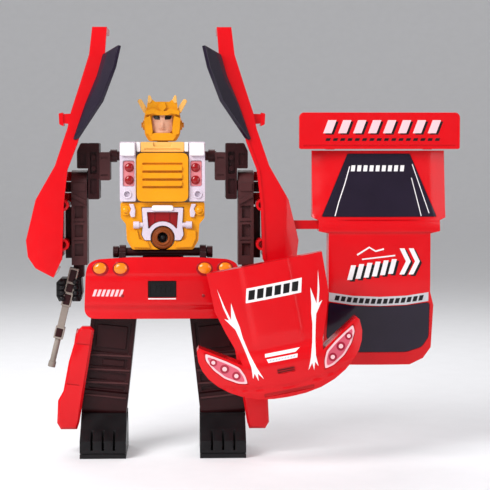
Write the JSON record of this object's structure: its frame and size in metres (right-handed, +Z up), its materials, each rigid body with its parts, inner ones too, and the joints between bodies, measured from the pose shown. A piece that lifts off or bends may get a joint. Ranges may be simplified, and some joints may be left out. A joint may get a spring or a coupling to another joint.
{
  "type": "transforming robot car toy",
  "caption": "Toy robot that folds into a sports car, standing as a robot with the car's sides as wings, its nose as a shield and its roof clipped beside it.",
  "frame": {"origin": "middle of the whole toy's footprint, on the surface that it stands on", "axes": "+Z up; the robot faces -Y; the robot's left hand, with the shield and the roof, is on +X"},
  "size_m": [0.1596, 0.0578, 0.158],
  "materials": {
    "red_plastic": "glossy moulded red plastic",
    "yellow_plastic": "golden yellow moulded plastic",
    "white_plastic": "white moulded plastic with a faint pink-grey cast",
    "maroon_plastic": "dark maroon-brown moulded plastic, satin",
    "black_plastic": "black moulded plastic, satin",
    "dark_glazing": "near-black glossy window plastic",
    "amber_lens": "amber lens",
    "dark_red_lens": "dark red translucent lens",
    "headlight_lens": "printed pinkish-white headlight",
    "face_paint": "pale painted plastic",
    "tyre_rubber": "matte black",
    "rim_silver": "silver-painted plastic",
    "steel": "plain steel",
    "circuit_board": "green solder mask"
  },
  "bodies": {
    "torso": {"torso_shell": "white_plastic", "battery_door": "white_plastic", "door_screw": "steel", "button_cell_1": "steel", "button_cell_2": "steel", "button_cell_3": "steel", "sound_board": "circuit_board", "speaker": "steel", "chest_plate": "yellow_plastic", "chest_block_left": "white_plastic", "chest_block_right": "white_plastic", "collar": "yellow_plastic", "hip_shell": "yellow_plastic", "belly_frame": "white_plastic", "belly_window": "dark_red_lens", "belly_nozzle": "dark_red_lens", "belly_lamp": "amber_lens", "hinge_bar": "maroon_plastic", "pelvis": "maroon_plastic"},
    "sound_button": {"sound_button": "red_plastic"},
    "head": {"helmet": "yellow_plastic", "face": "face_paint"},
    "skirt": {"rear_bumper": "red_plastic", "tail_light_1": "amber_lens", "tail_light_2": "amber_lens", "tail_light_3": "amber_lens", "tail_light_4": "amber_lens", "number_plate": "black_plastic"},
    "upper_arm_left": {"shoulder_block_left": "maroon_plastic"},
    "forearm_left": {"forearm_left": "maroon_plastic", "fist_left": "black_plastic"},
    "wing_left": {"side_panel_left": "red_plastic", "side_window_left": "dark_glazing"},
    "front_wheel_left": {"front_left_tyre": "tyre_rubber", "front_left_rim": "rim_silver"},
    "leg_left": {"leg_left": "maroon_plastic", "boot_fairing_left": "red_plastic"},
    "rear_wheel_left": {"rear_left_tyre": "tyre_rubber", "rear_left_rim": "rim_silver"},
    "foot_left": {"foot_left": "black_plastic"},
    "upper_arm_right": {"shoulder_block_right": "maroon_plastic"},
    "forearm_right": {"forearm_right": "maroon_plastic", "fist_right": "black_plastic"},
    "wing_right": {"side_panel_right": "red_plastic", "side_window_right": "dark_glazing"},
    "front_wheel_right": {"front_right_tyre": "tyre_rubber", "front_right_rim": "rim_silver"},
    "leg_right": {"leg_right": "maroon_plastic", "boot_fairing_right": "red_plastic"},
    "rear_wheel_right": {"rear_right_tyre": "tyre_rubber", "rear_right_rim": "rim_silver"},
    "foot_right": {"foot_right": "black_plastic"},
    "rifle": {"rifle": "maroon_plastic"},
    "shield": {"hood_shell": "red_plastic", "headlight_left": "headlight_lens", "headlight_right": "headlight_lens"},
    "roof": {"roof_shell": "red_plastic", "rear_wing": "red_plastic", "windshield": "dark_glazing", "rear_window": "dark_glazing"}
  },
  "joints": [
    {"name": "button_press", "type": "slide", "parent": "torso", "child": "sound_button", "axis": [0, -1, 0], "range_m": [0, 0.0012], "stiffness_N_per_m": 400},
    {"name": "head_turn", "type": "hinge", "parent": "torso", "child": "head", "pos_m": [-0.0296, 0.01135, 0.1165], "axis": [0, 0, 1], "range_deg": [-45, 45]},
    {"name": "skirt_swing", "type": "hinge", "parent": "torso", "child": "skirt", "pos_m": [-0.0296, 0.00795, 0.0754], "axis": [-1, 0, 0], "range_deg": [0, 40]},
    {"name": "shoulder_left", "type": "hinge", "parent": "torso", "child": "upper_arm_left", "pos_m": [-0.0116, 0.01235, 0.111], "axis": [-1, 0, 0], "range_deg": [0, 80]},
    {"name": "elbow_left", "type": "hinge", "parent": "upper_arm_left", "child": "forearm_left", "pos_m": [-0.0016, 0.01235, 0.1], "axis": [-1, 0, 0], "range_deg": [0, 60]},
    {"name": "wing_left", "type": "hinge", "parent": "forearm_left", "child": "wing_left", "pos_m": [0.006, 0.01635, 0.099], "axis": [0, 0, 1], "range_deg": [0, 70]},
    {"name": "front_wheel_left", "type": "hinge", "parent": "wing_left", "child": "front_wheel_left", "pos_m": [0.0124, 0.01935, 0.082], "axis": [1, 0, 0], "continuous": true},
    {"name": "hip_left", "type": "hinge", "parent": "torso", "child": "leg_left", "pos_m": [-0.0119, 0.01335, 0.057], "axis": [-0.9942, 0, -0.108], "range_deg": [-40, 15]},
    {"name": "ankle_left", "type": "hinge", "parent": "leg_left", "child": "foot_left", "pos_m": [-0.00754, 0.01335, 0.01684], "axis": [-0.9942, 0, -0.108], "range_deg": [-20, 20]},
    {"name": "rear_wheel_left", "type": "hinge", "parent": "leg_left", "child": "rear_wheel_left", "pos_m": [0.00173, 0.01535, 0.03434], "axis": [0.9942, 0, 0.108], "continuous": true},
    {"name": "shoulder_right", "type": "hinge", "parent": "torso", "child": "upper_arm_right", "pos_m": [-0.0476, 0.01235, 0.111], "axis": [-1, 0, 0], "range_deg": [0, 80]},
    {"name": "elbow_right", "type": "hinge", "parent": "upper_arm_right", "child": "forearm_right", "pos_m": [-0.0576, 0.01235, 0.1], "axis": [-1, 0, 0], "range_deg": [0, 60]},
    {"name": "wing_right", "type": "hinge", "parent": "forearm_right", "child": "wing_right", "pos_m": [-0.0652, 0.01635, 0.099], "axis": [0, 0, -1], "range_deg": [0, 70]},
    {"name": "front_wheel_right", "type": "hinge", "parent": "wing_right", "child": "front_wheel_right", "pos_m": [-0.0716, 0.01935, 0.082], "axis": [1, 0, 0], "continuous": true},
    {"name": "hip_right", "type": "hinge", "parent": "torso", "child": "leg_right", "pos_m": [-0.0473, 0.01335, 0.057], "axis": [-0.9942, 0, 0.108], "range_deg": [-40, 15]},
    {"name": "ankle_right", "type": "hinge", "parent": "leg_right", "child": "foot_right", "pos_m": [-0.05166, 0.01335, 0.01684], "axis": [-0.9942, 0, 0.108], "range_deg": [-20, 20]},
    {"name": "rear_wheel_right", "type": "hinge", "parent": "leg_right", "child": "rear_wheel_right", "pos_m": [-0.06093, 0.01535, 0.03434], "axis": [0.9942, 0, -0.108], "continuous": true},
    {"name": "rifle_pull", "type": "slide", "parent": "forearm_right", "child": "rifle", "axis": [0, -1, 0], "range_m": [0, 0.008]},
    {"name": "shield_pull", "type": "slide", "parent": "forearm_left", "child": "shield", "axis": [0, -1, 0], "range_m": [0, 0.01]},
    {"name": "roof_pull", "type": "slide", "parent": "wing_left", "child": "roof", "axis": [1, 0, 0], "range_m": [0, 0.012]}
  ]
}
